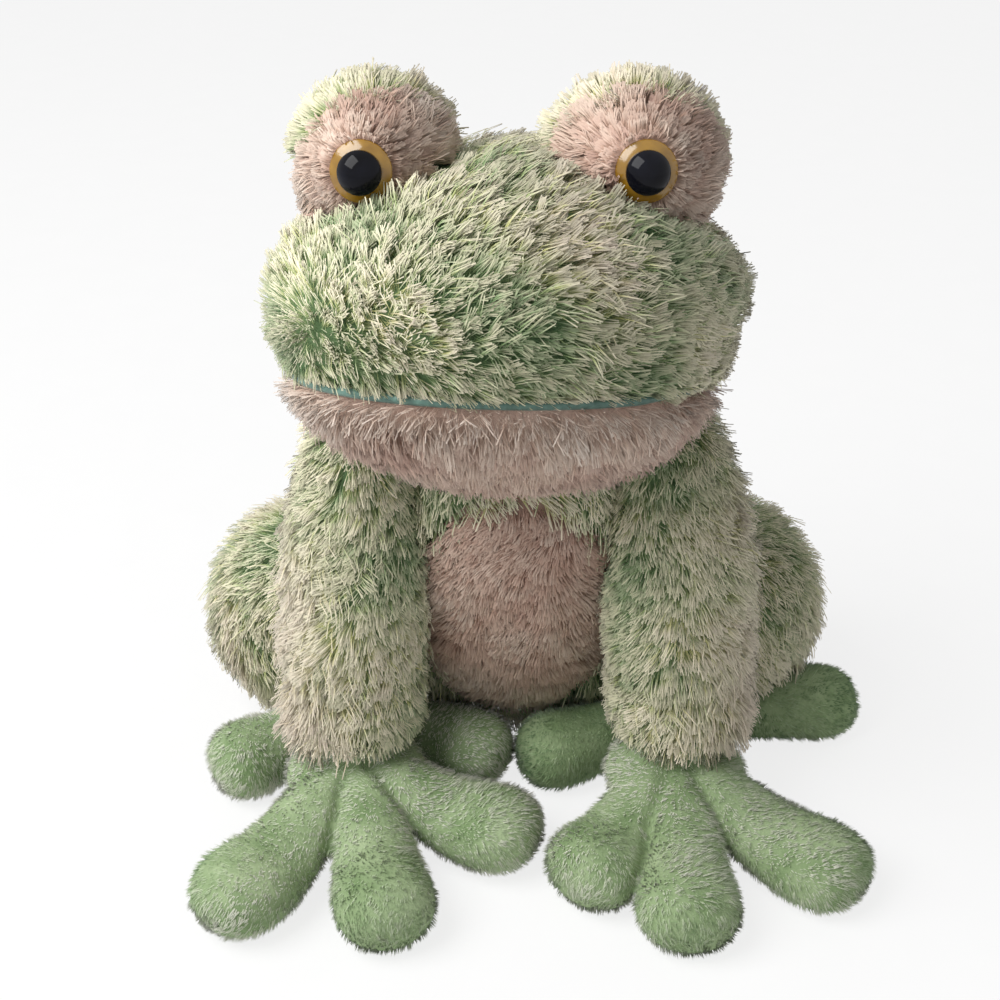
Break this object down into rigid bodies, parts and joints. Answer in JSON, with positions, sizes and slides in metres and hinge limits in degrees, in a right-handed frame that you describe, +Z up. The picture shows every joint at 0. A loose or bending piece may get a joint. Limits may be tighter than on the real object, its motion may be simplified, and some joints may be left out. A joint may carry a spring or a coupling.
{
  "type": "plush frog",
  "caption": "Soft frog that sits upright on a flat bean-bag seat, with a wide head, raised eye mounds, hanging arms and long-toed feet.",
  "frame": {"origin": "middle of the flat seat under the torso, on the surface that the frog sits on", "axes": "+Z up, the face looks towards -Y, the frog's own left is +X"},
  "size_m": [0.2648, 0.2043, 0.2877],
  "materials": {
    "green_fur": "long shaggy pile, mottled green with pale frosted tips",
    "cream_fur": "long shaggy pile, cream with a pink cast",
    "belly_fur": "finer pile, pinkish beige",
    "mint_minky": "short dense pile, mint green",
    "teal_satin": "smooth satin, grey-teal",
    "filling": "loose white fibre filling",
    "bag_cloth": "plain woven bag of small pellets",
    "amber_plastic": "glossy amber",
    "black_plastic": "glossy black",
    "washer_nylon": "plain white nylon"
  },
  "bodies": {
    "torso": {"torso_back_panel": "green_fur", "belly_panel": "belly_fur", "seat_bean_bag": "bag_cloth", "torso_stuffing": "filling"},
    "head": {"head_crown_panel": "green_fur", "jaw_panel": "cream_fur", "mouth_satin_strip": "teal_satin", "head_stuffing": "filling", "eye_mound_front_panel_left": "cream_fur", "eye_mound_back_panel_left": "green_fur", "eye_mound_stuffing_left": "filling", "eye_iris_left": "amber_plastic", "eye_pupil_left": "black_plastic", "eye_washer_left": "washer_nylon", "eye_mound_front_panel_right": "cream_fur", "eye_mound_back_panel_right": "green_fur", "eye_mound_stuffing_right": "filling", "eye_iris_right": "amber_plastic", "eye_pupil_right": "black_plastic", "eye_washer_right": "washer_nylon"},
    "arm_left": {"arm_sleeve_left": "green_fur", "arm_stuffing_left": "filling"},
    "arm_right": {"arm_sleeve_right": "green_fur", "arm_stuffing_right": "filling"},
    "forefoot_left": {"forefoot_skin_left": "mint_minky", "forefoot_stuffing_left": "filling"},
    "forefoot_right": {"forefoot_skin_right": "mint_minky", "forefoot_stuffing_right": "filling"},
    "thigh_left": {"thigh_panel_left": "green_fur", "thigh_stuffing_left": "filling"},
    "thigh_right": {"thigh_panel_right": "green_fur", "thigh_stuffing_right": "filling"},
    "hindfoot_left": {"hindfoot_skin_left": "mint_minky", "hindfoot_stuffing_left": "filling"},
    "hindfoot_right": {"hindfoot_skin_right": "mint_minky", "hindfoot_stuffing_right": "filling"}
  },
  "joints": [
    {"name": "neck_nod", "type": "hinge", "parent": "torso", "child": "head", "pos_m": [0, -0.05, 0.176], "axis": [1, 0, 0], "range_deg": [-8, 6], "stiffness_Nm_per_rad": 2},
    {"name": "shoulder_left", "type": "hinge", "parent": "torso", "child": "arm_left", "pos_m": [0.0398, -0.044, 0.138], "axis": [-1, 0, 0], "range_deg": [0, 40]},
    {"name": "shoulder_right", "type": "hinge", "parent": "torso", "child": "arm_right", "pos_m": [-0.0398, -0.044, 0.138], "axis": [-1, 0, 0], "range_deg": [0, 40]},
    {"name": "wrist_left", "type": "hinge", "parent": "arm_left", "child": "forefoot_left", "pos_m": [0.0614, -0.075, 0.04], "axis": [-1, 0, 0], "range_deg": [0, 10], "stiffness_Nm_per_rad": 0.3},
    {"name": "wrist_right", "type": "hinge", "parent": "arm_right", "child": "forefoot_right", "pos_m": [-0.0614, -0.075, 0.04], "axis": [-1, 0, 0], "range_deg": [0, 10], "stiffness_Nm_per_rad": 0.3},
    {"name": "hip_left", "type": "hinge", "parent": "torso", "child": "thigh_left", "pos_m": [0.0525, 0, 0.044], "axis": [1, 0, 0], "range_deg": [0, 25], "stiffness_Nm_per_rad": 1},
    {"name": "hip_right", "type": "hinge", "parent": "torso", "child": "thigh_right", "pos_m": [-0.0525, 0, 0.044], "axis": [1, 0, 0], "range_deg": [0, 25], "stiffness_Nm_per_rad": 1},
    {"name": "ankle_left", "type": "hinge", "parent": "thigh_left", "child": "hindfoot_left", "pos_m": [0.0715, -0.033, 0.022], "axis": [1, 0, 0], "range_deg": [0, 5], "stiffness_Nm_per_rad": 0.3},
    {"name": "ankle_right", "type": "hinge", "parent": "thigh_right", "child": "hindfoot_right", "pos_m": [-0.0715, -0.033, 0.022], "axis": [1, 0, 0], "range_deg": [0, 5], "stiffness_Nm_per_rad": 0.3}
  ]
}
